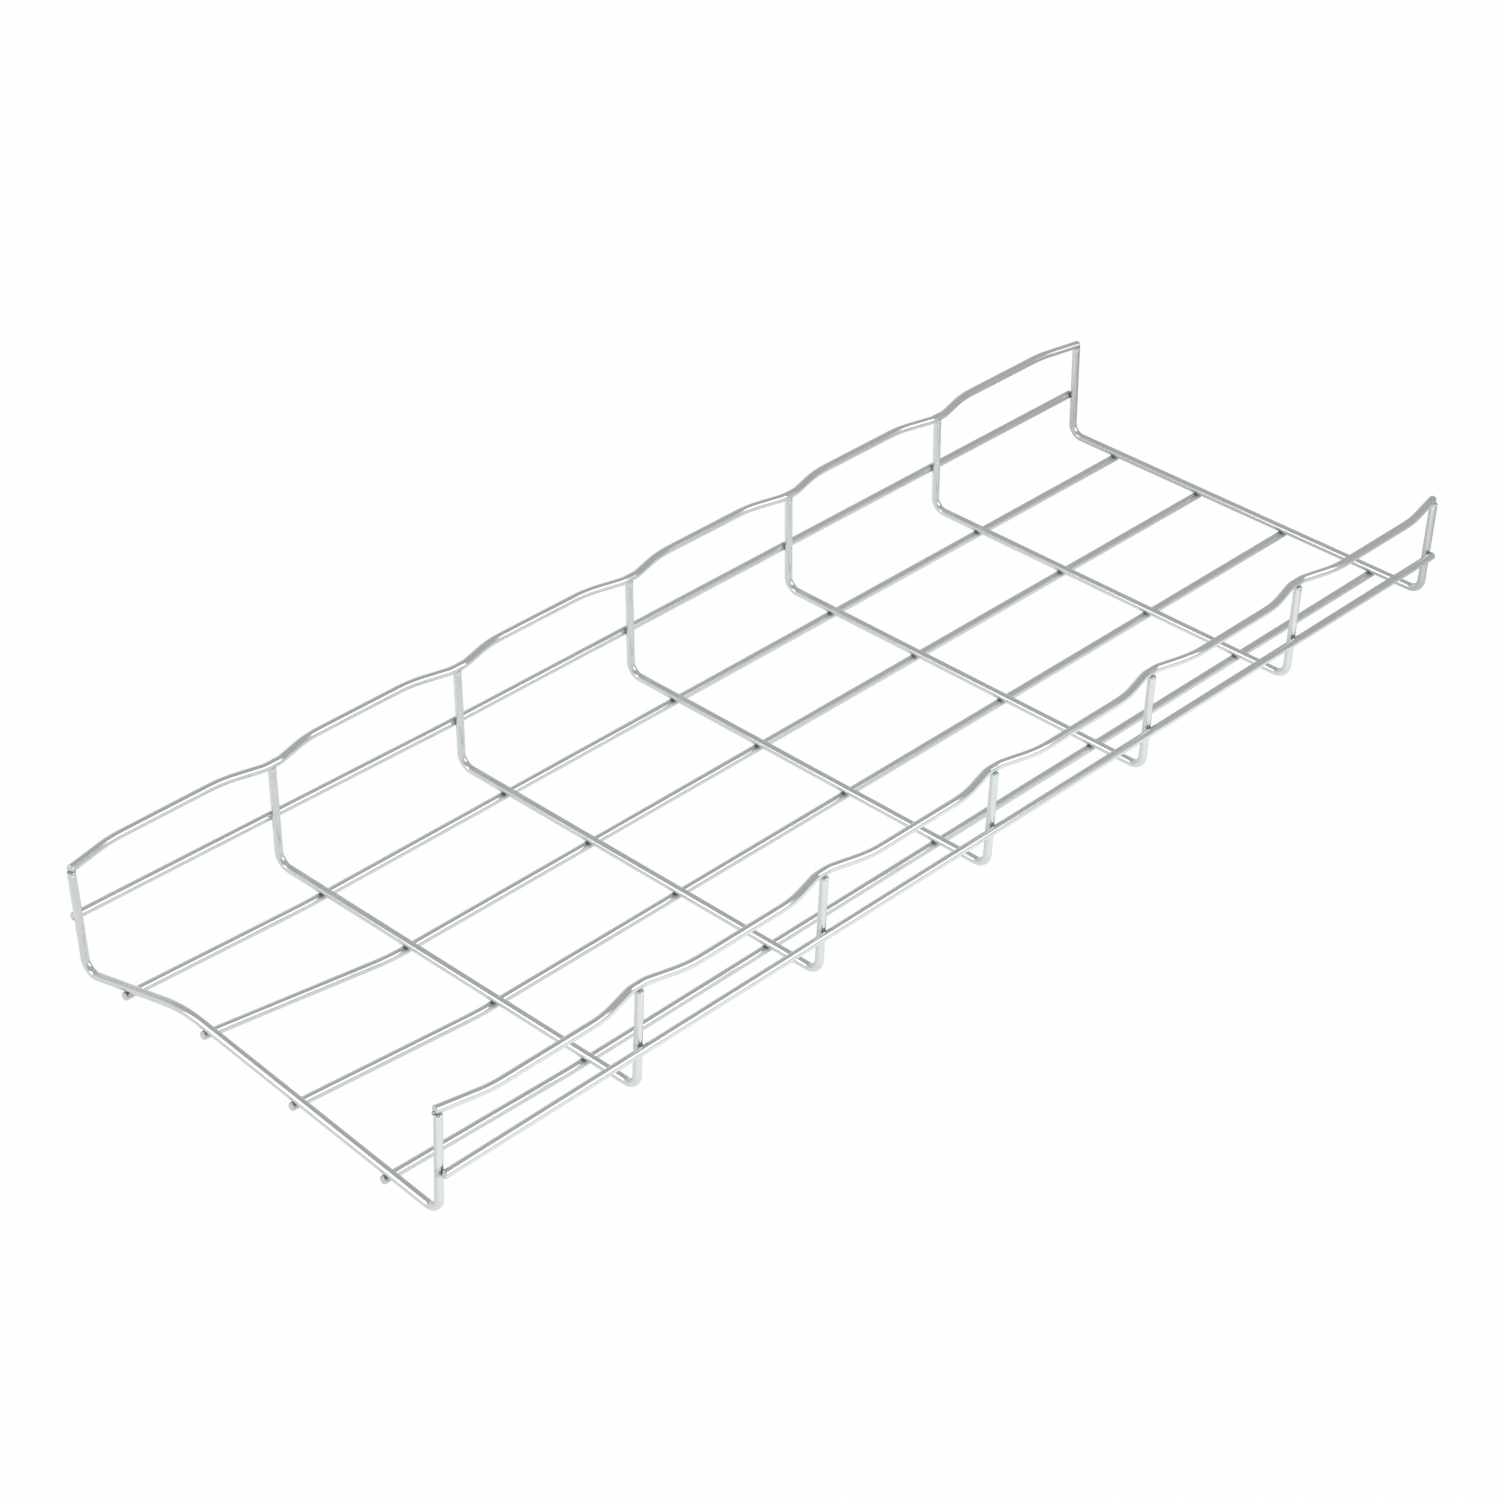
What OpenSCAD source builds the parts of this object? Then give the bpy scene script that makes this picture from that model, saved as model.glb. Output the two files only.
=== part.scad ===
// Wire mesh cable basket: one length of welded, zinc plated cable tray.
// Seven U shaped cross wires stand on four floor wires. A side wire runs
// outside each wall and a waved edge wire is T-welded on top of the wall's
// cut wire ends. One end has been knocked: the floor is pushed up there.
// Millimetres. X across, Y along the tray, Z up, origin under its middle.

/* [Tray] */
// Clear width between the two walls at the floor
inner_width = 200; // [150:10:400]
// Overall height, underside of the floor wires to the top of the edge wires
tray_height = 54.5; // [45:0.5:110]
// Spacing of the cross wires along the tray
bay_length = 100; // [80:5:150]
// Outward lean of each wall, measured at its top
wall_splay = 1.3; // [0:0.1:4]

/* [Wire] */
// Diameter of every wire
wire_d = 3.5; // [3:0.25:5]
// How far two wires sink into each other at a resistance weld
weld_bite = 0.3; // [0.1:0.05:0.6]

/* [Cross wires] */
// Centre line radius of the bend between the floor and a wall
bend_r = 6; // [5:0.5:12]

/* [Longitudinal wires] */
// Spacing of the four floor wires
floor_pitch = 50; // [40:1:60]
// Sideways place of their middle, from the middle of the tray
floor_shift = -1; // [-2:0.1:2]
// Height of the side wires' centre line above the ground
side_wire_z = 25; // [18:0.5:35]
// Stub of each floor wire past the end cross wires' centre lines
floor_stub = 2.2; // [2:0.1:20]
// Stub of each side wire past the end cross wires' centre lines
side_stub = 0.5; // [0.3:0.1:20]

/* [Edge wires] */
// How far the edge wire bows outward between two welds
wave_depth = 4.8; // [2:0.2:8]
// How far inward of the legs' centres the left edge wire is welded
left_edge_inset = 0.4; // [0:0.1:1.2]
// How far inward of the legs' centres the right edge wire is welded
right_edge_inset = 1.1; // [0:0.1:1.2]
// Distance from a weld to the corner where the bow starts
wave_start = 4; // [3.5:0.5:8]
// Distance from a weld to the full bow
wave_full = 22; // [16:1:35]
// How far the edge wire's cut ends pass the end legs' centre lines
edge_stub = 0.4; // [0.2:0.1:1.2]
// Centre line radius where the wave leaves the weld
wave_foot_r = 12; // [6:1:30]
// Centre line radius where the wave levels out
wave_crest_r = 50; // [20:5:60]

/* [Knocked end] */
// Height of the pushed up floor where the end cross wire peaks
knock_rise = 15; // [2:0.5:22]
// Sideways place of that peak, from the middle of the tray
knock_x = -40; // [-60:1:-30]
// Centre line radius of the peak
knock_r = 60; // [30:5:80]
// How far the knock draws the left foot of the end wire inward
knock_draw = 2.7; // [0:0.1:5]
// How far the knock lifts the end of the left side wire
knock_side_lift = 4.2; // [0:0.1:5]
// Distance from the last straight weld to where a long wire bends up
knock_start = 8; // [6:1:20]

/* [Hidden] */
$fn = 48;
bay_count = 6;
half_length = bay_length * bay_count / 2;
weld_pitch = wire_d - weld_bite;
cross_z = wire_d / 2 + weld_pitch;
edge_z = tray_height - wire_d / 2;
leg_top_z = edge_z - wire_d / 2 + weld_bite;
foot_x = inner_width / 2 + wire_d / 2;
leg_top_x = foot_x + wall_splay;
knocked_foot_x = knock_draw - foot_x;
knock_left_slope = knock_rise / (knock_x - knocked_foot_x);
knock_right_slope = knock_rise / (foot_x - knock_x);
long_bend_r = 120;
// Wire thins a little where it is bent, and each straight laps over the
// thinner bend that it runs into.
bend_thinning = 0.02;
lap = 0.1;
zinc = [0.78, 0.80, 0.81];

// ---- bent wire: straight lengths and bends through corner points ----

function heading(a, b) = atan2((b - a).y, (b - a).x);
function half_turn_over(t) = t > 180 ? t - 360 : t < -180 ? t + 360 : t;
function turn(v, i) =
    half_turn_over(heading(v[i], v[i + 1]) - heading(v[i - 1], v[i]));
function is_end(v, i) = i == 0 || i == len(v) - 1;
// Length that the bend at corner i takes from each straight beside it.
function setback(v, r, i) = is_end(v, i) ? 0 : r[i] * tan(abs(turn(v, i)) / 2);
// Length of straight at corner i that is lost to the bend, less the lap.
function trim(v, r, i) = is_end(v, i) ? 0 : setback(v, r, i) - lap;

// Straight k of a wire in the XY plane through corners v, with bend radius
// r[i] at corner i.
module straight(v, r, k) {
    translate(v[k]) rotate(heading(v[k], v[k + 1]))
        translate([trim(v, r, k), 0, 0]) rotate([0, 90, 0])
            cylinder(h = norm(v[k + 1] - v[k]) - trim(v, r, k)
                - trim(v, r, k + 1), d = wire_d);
}

module bend(v, r, i) {
    t = turn(v, i);
    translate(v[i]) rotate(heading(v[i - 1], v[i]))
        translate([-setback(v, r, i), sign(t) * r[i], 0])
            rotate(t > 0 ? -90 : 90 + t) rotate_extrude(angle = abs(t))
                translate([r[i], 0]) circle(d = wire_d - bend_thinning);
}

module bent_wire(v, r) {
    for (k = [0 : len(v) - 2]) straight(v, r, k);
    for (i = [1 : len(v) - 2]) bend(v, r, i);
}

// ---- cross wires ----

function station(i) = -half_length + bay_length * (i - 1);

// Corners of a cross wire, across and up. The knocked end wire's floor run
// peaks like a low roof, and its left foot is drawn in.
function cross_corners(i) = i == 1
    ? [[-leg_top_x, leg_top_z], [knocked_foot_x, cross_z],
       [knock_x, cross_z + knock_rise],
       [foot_x, cross_z], [leg_top_x, leg_top_z]]
    : [[-leg_top_x, leg_top_z], [-foot_x, cross_z],
       [foot_x, cross_z], [leg_top_x, leg_top_z]];
function cross_radii(i) = i == 1
    ? [0, bend_r, knock_r, bend_r, 0] : [0, bend_r, bend_r, 0];

module cross_place(i) {
    translate([0, station(i), 0]) rotate([90, 0, 0]) children();
}

module cross_wire(i) {
    cross_place(i) bent_wire(cross_corners(i), cross_radii(i));
}

// One straight of a cross wire, which seats the wires welded across it: 0 is
// the left leg and 1 the floor run, or the knocked wire's left slope.
module cross_straight(i, k) {
    cross_place(i) straight(cross_corners(i), cross_radii(i), k);
}

// ---- floor wires ----

function floor_x(j) = floor_shift + floor_pitch * (j - 2.5);
function knock_slope(x) = x < knock_x ? knock_left_slope : -knock_right_slope;
// Drop from a cross wire's centre line to a floor wire's, down the slopes.
function weld_drop(across, along) =
    weld_pitch * sqrt(1 + across * across + along * along);
// Lift of the knocked end wire's floor run at x.
function knock_lift(x) = x < knock_x
    ? (x - knocked_foot_x) * knock_left_slope
    : (foot_x - x) * knock_right_slope;
function draw_in(x) = x < knock_x ? knock_draw : 0;
// Length of a long wire's bent up end, which reaches over so many bays.
function bend_run(bays) = bays * bay_length - knock_start;
function floor_lift(x) =
    let (top = knock_lift(x + draw_in(x)))
        top + weld_pitch - weld_drop(knock_slope(x), top / bend_run(1));

// Corners of a long wire, along Y and lifted: straight, then up to the end.
function knocked_long(lift, bays, stub) = [
    [half_length + stub, 0],
    [station(1) + bend_run(bays), 0],
    [station(1) - stub, lift * (1 + stub / bend_run(bays))]
];

// A long wire that starts at [x, 0, z] and is moved [dx, dz] at the end wire.
module knocked_wire(x, z, dx, dz, bays, stub) {
    translate([x, 0, z]) rotate([0, atan2(dx, dz), 0]) rotate([0, 0, 90])
        rotate([90, 0, 0])
            bent_wire(knocked_long(norm([dx, dz]), bays, stub),
                [0, long_bend_r, 0]);
}

module floor_wire(j) {
    difference() {
        knocked_wire(floor_x(j), wire_d / 2, draw_in(floor_x(j)),
            floor_lift(floor_x(j)), 1, floor_stub);
        for (i = [1 : bay_count + 1])
            cross_straight(i, i == 1 && floor_x(j) > knock_x ? 2 : 1);
    }
}

// ---- side wires ----

// Lean of a wall's leg from upright, and of the knocked left leg.
leg_lean = atan2(leg_top_x - foot_x, leg_top_z - cross_z);
knocked_lean = atan2(leg_top_x + knocked_foot_x, leg_top_z - cross_z);
function leg_x(z, lean) = leg_top_x - (leg_top_z - z) * tan(lean);
function side_x(z, lean) = leg_x(z, lean) + weld_pitch / cos(lean);

module side_wire_left() {
    end_z = side_wire_z + knock_side_lift;
    difference() {
        knocked_wire(-side_x(side_wire_z, leg_lean), side_wire_z,
            side_x(side_wire_z, leg_lean) - side_x(end_z, knocked_lean),
            knock_side_lift, 2, side_stub);
        for (i = [1 : bay_count + 1]) cross_straight(i, 0);
    }
}

module side_wire_right() {
    difference() {
        translate([side_x(side_wire_z, leg_lean), 0, side_wire_z])
            rotate([90, 0, 0])
                cylinder(h = 2 * (half_length + side_stub), d = wire_d,
                    center = true);
        for (i = [1 : bay_count + 1])
            cross_straight(i, len(cross_radii(i)) - 2);
    }
}

// ---- edge wires ----

last_bay = bay_count - 1;
// Corners of the waved edge wire, along Y and outward. It ends just past the
// end legs, and each weld between them has a short straight foot.
function bay_corners(i) = [
    if (i > 0) [station(i + 1) + wave_start, 0],
    [station(i + 1) + wave_full, wave_depth],
    [station(i + 2) - wave_full, wave_depth],
    if (i < last_bay) [station(i + 2) - wave_start, 0]
];
// Half the turn at a ramp's ends, and the radii that it leaves room for. The
// foot stays straight over the whole seat of the leg.
half_ramp_turn = atan2(wave_depth, wave_full - wave_start) / 2;
seat_half = wire_d / 2 + 0.3;
foot_r = min(wave_foot_r, (wave_start - seat_half) / tan(half_ramp_turn));
crest_r = min(wave_crest_r,
    0.5 * (wave_full - wave_start) / tan(half_ramp_turn));
function bay_radii(i) = [
    if (i > 0) foot_r, crest_r, crest_r,
    if (i < last_bay) foot_r
];
edge_corners = [
    [-half_length - edge_stub, 0],
    for (i = [0 : last_bay]) each bay_corners(i),
    [half_length + edge_stub, 0]
];
edge_radii = [0, for (i = [0 : last_bay]) each bay_radii(i), 0];

// An edge wire on the left wall, with a flat seat for each leg's cut end.
module edge_wire(inset) {
    difference() {
        translate([inset - leg_top_x, 0, edge_z]) rotate([0, 0, 90])
            bent_wire(edge_corners, edge_radii);
        for (i = [1 : bay_count + 1])
            translate([-leg_top_x, station(i), leg_top_z])
                rotate([0, -leg_lean, 0])
                    translate([0, 0, -wire_d]) cylinder(h = wire_d, d = wire_d);
    }
}

// ---- nodes ----

for (i = [1 : bay_count + 1])
    color(zinc) cross_wire(i);
for (j = [1 : 4])
    color(zinc) floor_wire(j);
color(zinc) side_wire_left();
color(zinc) side_wire_right();
color(zinc) edge_wire(left_edge_inset);  // edge_wire_left
color(zinc) mirror([1, 0, 0]) edge_wire(right_edge_inset);  // edge_wire_right
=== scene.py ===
"""Looks of one length of welded wire mesh cable basket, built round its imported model.

Every wire is swept again as a smooth drawn wire with its sheared ends, the press marks of the
welding electrodes and the flash that the welds squeeze out. All lengths are in metres, in the
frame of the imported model: X across the tray, Y along it and Z up.
"""
import logging
import math
import random
from dataclasses import dataclass, field
from enum import Enum

import bpy
from mathutils import Matrix, Vector


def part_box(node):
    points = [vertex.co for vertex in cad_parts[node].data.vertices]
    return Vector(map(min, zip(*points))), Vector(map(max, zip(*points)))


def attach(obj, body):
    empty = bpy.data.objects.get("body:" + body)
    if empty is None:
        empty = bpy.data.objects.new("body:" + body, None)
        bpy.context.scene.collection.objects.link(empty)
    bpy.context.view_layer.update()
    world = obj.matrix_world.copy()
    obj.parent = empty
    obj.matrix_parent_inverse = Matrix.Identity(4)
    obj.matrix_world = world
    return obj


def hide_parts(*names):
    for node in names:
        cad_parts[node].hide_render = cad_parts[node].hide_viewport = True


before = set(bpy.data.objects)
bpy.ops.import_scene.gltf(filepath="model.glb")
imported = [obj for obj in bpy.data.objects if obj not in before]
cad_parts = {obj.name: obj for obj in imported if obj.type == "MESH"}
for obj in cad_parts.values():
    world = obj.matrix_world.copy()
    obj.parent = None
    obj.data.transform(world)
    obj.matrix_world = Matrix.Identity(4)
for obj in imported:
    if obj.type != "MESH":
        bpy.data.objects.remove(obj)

log = logging.getLogger("cable_basket")

BODY = "root"
MM = 0.001
BAYS = 6
FLOOR_WIRES = 4
PLACE = "wire_place"
# Attribute of the welding tint with painted contact shade beside each weld.
WELD_TINT_AND_SHADE = "weld_tint_and_painted_shade"
BAKE_MAP = "OFBake"


class Wall(Enum):
    """The two walls of the tray, by the side of the middle that they stand on."""

    LEFT = -1
    RIGHT = 1


# ---- shapes: the centre line of a bent wire, and the wire swept along it ----


@dataclass(frozen=True)
class Run:
    """One stretch of a wire's centre line: a straight, or a bend where radius is set."""

    start: Vector
    heading: Vector
    length: float
    radius: float = 0.0
    inward: Vector = Vector((0.0, 0.0, 0.0))

    def at(self, s: float) -> tuple[Vector, Vector]:
        """Gives a point of the run.

        Args:
            s: distance from the start of the run.

        Returns:
            The point, and the wire's heading there.
        """
        if self.radius == 0.0:
            return self.start + self.heading * s, self.heading
        turn = s / self.radius
        point = (
            self.start
            + self.heading * (self.radius * math.sin(turn))
            + self.inward * (self.radius * (1 - math.cos(turn)))
        )
        return point, self.heading * math.cos(turn) + self.inward * math.sin(turn)


@dataclass(frozen=True)
class PressMark:
    """The flat that a welding electrode leaves on the far side of a wire from its weld.

    The weld also tints the zinc on the near side, darkened further there as painted contact shade beside the
    other wire, with the strength that the mark's last field gives.
    """

    place: Vector
    side: Vector
    tint_and_shade: float = 0.8


class CentreLine:
    """A bent wire's centre line, straight between its corners and round at them."""

    bend_step = math.radians(6.0)
    least_gap = 0.3

    def __init__(self, corners: list[Vector], radii: list[float]) -> None:
        """Lays out the runs.

        Args:
            corners: the points that the straights meet at, with both ends.
            radii: the bend's radius at each corner, 0 at the ends.
        """
        self.runs: list[Run] = []
        start = corners[0]
        for i in range(1, len(corners)):
            heading = (corners[i] - start).normalized()
            if i == len(corners) - 1:
                self.runs.append(Run(start, heading, (corners[i] - start).length))
                break
            after = (corners[i + 1] - corners[i]).normalized()
            turn = heading.angle(after)
            setback = radii[i] * math.tan(turn / 2)
            bend_start = corners[i] - heading * setback
            self.runs.append(Run(start, heading, (bend_start - start).length))
            inward = (after - heading * after.dot(heading)).normalized()
            self.runs.append(Run(bend_start, heading, radii[i] * turn, radii[i], inward))
            start = corners[i] + after * setback
        self.length = sum(run.length for run in self.runs)

    def at(self, s: float) -> tuple[Vector, Vector]:
        """Gives the point and heading at a distance s along the whole line."""
        for run in self.runs:
            if s <= run.length or run is self.runs[-1]:
                return run.at(s)
            s -= run.length
        raise ValueError("a centre line has no runs")

    def nearest(self, place: Vector) -> float:
        """Gives the distance along the line to its point nearest to place."""
        best, found = math.inf, 0.0
        steps = int(self.length / MM)
        for k in range(steps + 1):
            s = self.length * k / steps
            gap = (self.at(s)[0] - place).length
            if gap < best:
                best, found = gap, s
        return found

    def stops(self, coarse: float, fine: float, reach: float, marks: list[float]) -> list[float]:
        """Chooses where the sweep has its rings.

        Args:
            coarse: spacing on the straights.
            fine: spacing near each mark.
            reach: how far from a mark the fine spacing goes.
            marks: distances along the line to the press marks.

        Returns:
            The rings' distances along the line, in order.
        """
        found = [0.0, self.length]
        done = 0.0
        for run in self.runs:
            steps = max(1, math.ceil(run.length / coarse))
            if run.radius:
                steps = max(steps, math.ceil(run.length / run.radius / self.bend_step))
            found += [done + run.length * k / steps for k in range(steps + 1)]
            done += run.length
        for mark in marks:
            steps = round(reach / fine)
            found += [mark + k * fine for k in range(-steps, steps + 1)]
        kept: list[float] = []
        for s in sorted(found):
            if 0.0 <= s <= self.length and (not kept or s - kept[-1] > self.least_gap * fine):
                kept.append(s)
        kept[-1] = self.length
        return kept


@dataclass(frozen=True)
class SkinSheet:
    """Lays a wire's skin out flat: its wall folded into rows, with its two crops in one more.

    The crops' middles are a quarter and three quarters of the way across their row.
    """

    rows: int = 8
    margin: float = 0.06

    def height(self, row: int, share: float) -> float:
        """Gives the height on the sheet of a share of a row."""
        return (row + self.margin + (1 - 2 * self.margin) * share) / (self.rows + 1)

    def wall(
        self,
        ring_shares: tuple[float, float],
        turns: tuple[float, float],
    ) -> list[tuple[float, float]]:
        """Places one face of the wall.

        Args:
            ring_shares: how far along the wire its two rings are, from 0 to 1.
            turns: how far round the wire its two sides are, from 0 to 1.

        Returns:
            The face's four places, in the order of its points.
        """
        row = min(self.rows - 1, int(self.rows * sum(ring_shares) / 2))
        width = 1 - 2 * self.margin
        near, far = (self.margin + width * (share * self.rows - row) for share in ring_shares)
        low, high = (self.height(row, 1 - turn) for turn in turns)
        return [(near, low), (near, high), (far, high), (far, low)]

    def crop(self, place: Vector, radius: float, end: int) -> tuple[float, float]:
        """Places one point of a crop.

        Args:
            place: where the point is across the wire.
            radius: the wire's radius.
            end: 0 for the first crop, 1 for the last.

        Returns:
            The point's place.
        """
        hand = 2 * end - 1
        across = 0.5 + 0.25 * hand + 0.5 * hand * place.x / radius / (self.rows + 1)
        return across, self.height(self.rows, 0.5 + 0.5 * place.y / radius)


def swept_object(
    name: str,
    verts: list[Vector],
    faces: list[tuple[int, ...]],
    places: list[Vector],
    tint_and_shade: list[float],
) -> bpy.types.Object:
    """Makes the object and stores where on its wire each point is, and its welding tint with painted contact
    shade.

    Args:
        name: the piece's name.
        verts: the points.
        faces: the faces.
        places: each point across and along its own wire.
        tint_and_shade: each point's welding tint with painted contact shade, from 0 to 1.

    Returns:
        The smooth shaded object, linked to the scene.
    """
    mesh = bpy.data.meshes.new(name)
    mesh.from_pydata([tuple(v) for v in verts], [], faces)
    attribute = mesh.attributes.new(PLACE, "FLOAT_VECTOR", "POINT")
    attribute.data.foreach_set("vector", [c for p in places for c in p])
    mesh.attributes.new(WELD_TINT_AND_SHADE, "FLOAT", "POINT").data.foreach_set("value", tint_and_shade)
    mesh.polygons.foreach_set("use_smooth", [True] * len(faces))
    mesh.update()
    piece = bpy.data.objects.new(name, mesh)
    bpy.context.scene.collection.objects.link(piece)
    return piece


@dataclass(frozen=True)
class WireMill:
    """How a wire is drawn, cropped and pressed: what the sweep of every wire shares.

    Within crop_clear bevels of an end a wire has only the bevel's own rings. Each of the
    dish_rings gives a ring's share of the radius and its share of the dish's depth.
    """

    radius: float
    sides: int = 32
    ring_gap: float = 3.0 * MM
    mark_gap: float = 0.4 * MM
    mark_reach: float = 2.4 * MM
    mark_depth: float = 0.11 * MM
    crop_bevel: float = 0.28 * MM
    crop_dish: float = 0.12 * MM
    crop_clear: float = 1.5
    dish_rings: tuple[tuple[float, float], ...] = ((0.72, 0.2), (0.42, 0.75))
    # How far along and round the wire the welding tint with painted contact shade reaches.
    tint_shade_reach: float = 2.7 * MM
    tint_shade_fade: float = 1.3 * MM
    tint_shade_wrap: float = 0.4
    sheet: SkinSheet = SkinSheet()

    def pressed(self, out: Vector, s: float, marks: list[tuple[float, PressMark]]) -> Vector:
        """Flattens one point of a ring under the electrodes.

        Args:
            out: the point, from the wire's centre.
            s: the ring's distance along the wire.
            marks: each press mark, with its distance along the wire.

        Returns:
            The point where the press leaves it, from the wire's centre.
        """
        for place, mark in marks:
            near = 1.0 - ((s - place) / self.mark_reach) ** 2
            if near > 0.0:
                over = out.dot(mark.side) - (self.radius - self.mark_depth * near * near)
                if over > 0.0:
                    out = out - mark.side * over
        return out

    def tinted_and_shaded(self, out: Vector, s: float, marks: list[tuple[float, PressMark]]) -> float:
        """Says how strongly one point of a ring carries a weld's tint and the painted contact shade beside
        the other wire.

        Args:
            out: the point, from the wire's centre.
            s: the ring's distance along the wire.
            marks: each press mark, with its distance along the wire.

        Returns:
            The strength of the welding tint with painted contact shade, from 0 to 1.
        """
        found = 0.0
        for place, mark in marks:
            near = (self.tint_shade_reach - abs(s - place)) / self.tint_shade_fade
            if near > 0.0:
                facing = self.tint_shade_wrap - out.dot(mark.side) / self.radius
                found = max(found, mark.tint_and_shade * min(1.0, near) * min(1.0, max(0.0, facing)))
        return found

    def rings(self, line: CentreLine, marks: list[float]) -> list[tuple[float, float]]:
        """Chooses a wire's rings, with a bevel at each end.

        Args:
            line: the wire's centre line.
            marks: distances along the line to the press marks.

        Returns:
            Each ring's distance along the line and its radius.
        """
        bevel = self.crop_bevel
        clear = self.crop_clear * bevel
        stops = line.stops(self.ring_gap, self.mark_gap, self.mark_reach, marks)
        rings = [(0.0, self.radius - bevel), (bevel, self.radius)]
        rings += [(s, self.radius) for s in stops if clear < s < line.length - clear]
        rings += [(line.length - bevel, self.radius), (line.length, self.radius - bevel)]
        return rings

    def replace(self, name: str, line: CentreLine, marks: list[PressMark]) -> bpy.types.Object:
        """Sweeps a wire that stands in for the node of that name."""
        piece = self.sweep(f"drawn_{name}", line, marks)
        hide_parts(name)
        return piece

    def sweep(self, name: str, line: CentreLine, marks: list[PressMark]) -> bpy.types.Object:
        """Sweeps one wire, with a bevelled and dished crop at each end.

        Args:
            name: the piece's name.
            line: the wire's centre line.
            marks: the press marks on it.

        Returns:
            The wire's object, whose crops use the second material slot.
        """
        placed = [(line.nearest(mark.place), mark) for mark in marks]
        rings = self.rings(line, [place for place, _ in placed])
        verts: list[Vector] = []
        places: list[Vector] = []
        tint_and_shade: list[float] = []
        point, heading = line.at(0.0)
        across = heading.orthogonal().normalized()
        for s, radius in rings:
            point, heading = line.at(s)
            across = (across - heading * across.dot(heading)).normalized()
            up = heading.cross(across)
            for k in range(self.sides):
                angle = math.tau * k / self.sides
                out = (across * math.cos(angle) + up * math.sin(angle)) * radius
                verts.append(point + self.pressed(out, s, placed))
                tint_and_shade.append(self.tinted_and_shaded(out, s, placed))
                places.append(Vector((math.cos(angle) * radius, math.sin(angle) * radius, s)))
        faces = []
        flat: list[tuple[float, float]] = []
        n = self.sides
        for i in range(len(rings) - 1):
            shares = (rings[i][0] / line.length, rings[i + 1][0] / line.length)
            for k in range(n):
                a, b = i * n + k, i * n + (k + 1) % n
                faces.append((a, b, b + n, a + n))
                flat += self.sheet.wall(shares, (k / n, (k + 1) / n))
        wall_faces = len(faces)
        for ring, s, sign in ((0, 0.0, 1.0), (len(rings) - 1, line.length, -1.0)):
            point, heading = line.at(s)
            rim = [ring * n + k for k in range(n)]
            for share, dish in self.dish_rings:
                inner = []
                for k in range(n):
                    out = (verts[ring * n + k] - point) * share
                    inner.append(len(verts))
                    verts.append(point + out + heading * (sign * dish * self.crop_dish))
                    place = places[ring * n + k]
                    places.append(Vector((place.x * share, place.y * share, s)))
                for k in range(n):
                    quad = (rim[k], inner[k], inner[(k + 1) % n], rim[(k + 1) % n])
                    faces.append(quad if sign > 0 else quad[::-1])
                rim = inner
            middle = len(verts)
            verts.append(point + heading * (sign * self.crop_dish))
            places.append(Vector((0.0, 0.0, s)))
            for k in range(n):
                tri = (rim[k], middle, rim[(k + 1) % n])
                faces.append(tri if sign > 0 else tri[::-1])
        tint_and_shade += [0.0] * (len(verts) - len(tint_and_shade))
        for face in faces[wall_faces:]:
            end = round(places[face[0]].z / line.length)
            flat += [self.sheet.crop(places[v], self.radius, end) for v in face]
        piece = swept_object(name, verts, faces, places, tint_and_shade)
        skin = piece.data.uv_layers.new(name=BAKE_MAP)
        skin.data.foreach_set("uv", [c for pair in flat for c in pair])
        for polygon in piece.data.polygons[wall_faces:]:
            polygon.material_index = 1
        return piece

# ---- the pieces ----


@dataclass
class TrayFrame:
    """The tray's main sizes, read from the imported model, and those that it can't show."""

    weld_bite: float = 0.3 * MM
    bend_radius: float = 6.0 * MM
    wall_splay: float = 1.3 * MM
    side_height: float = 25.0 * MM
    wire: float = field(init=False)
    height: float = field(init=False)
    leg_top_x: float = field(init=False)
    stations: list[float] = field(init=False)

    def __post_init__(self) -> None:
        """Reads the wire, the height, the width and the cross wires' places."""
        low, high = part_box("cross_wire_4")
        self.wire = high[1] - low[1]
        self.leg_top_x = high[0] - self.wire / 2
        self.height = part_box("edge_wire_left")[1][2]
        boxes = [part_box(f"cross_wire_{i + 1}") for i in range(BAYS + 1)]
        self.stations = [(low[1] + high[1]) / 2 for low, high in boxes]

    @property
    def radius(self) -> float:
        """Radius of every wire."""
        return self.wire / 2

    @property
    def weld_pitch(self) -> float:
        """Distance between the centre lines of two wires that are welded."""
        return self.wire - self.weld_bite

    @property
    def cross_z(self) -> float:
        """Height of the cross wires' floor run."""
        return self.radius + self.weld_pitch

    @property
    def edge_z(self) -> float:
        """Height of the edge wires."""
        return self.height - self.radius

    @property
    def leg_top_z(self) -> float:
        """Height of the legs' cut ends."""
        return self.edge_z - self.radius + self.weld_bite

    @property
    def foot_x(self) -> float:
        """Where a leg and the floor run would meet, across."""
        return self.leg_top_x - self.wall_splay

    @property
    def lean(self) -> float:
        """Lean of a sound leg from upright."""
        return math.atan2(self.wall_splay, self.leg_top_z - self.cross_z)

    def leg_x(self, z: float) -> float:
        """Gives how far out a sound leg's centre line is at a height."""
        return self.leg_top_x - (self.leg_top_z - z) * math.tan(self.lean)


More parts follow.
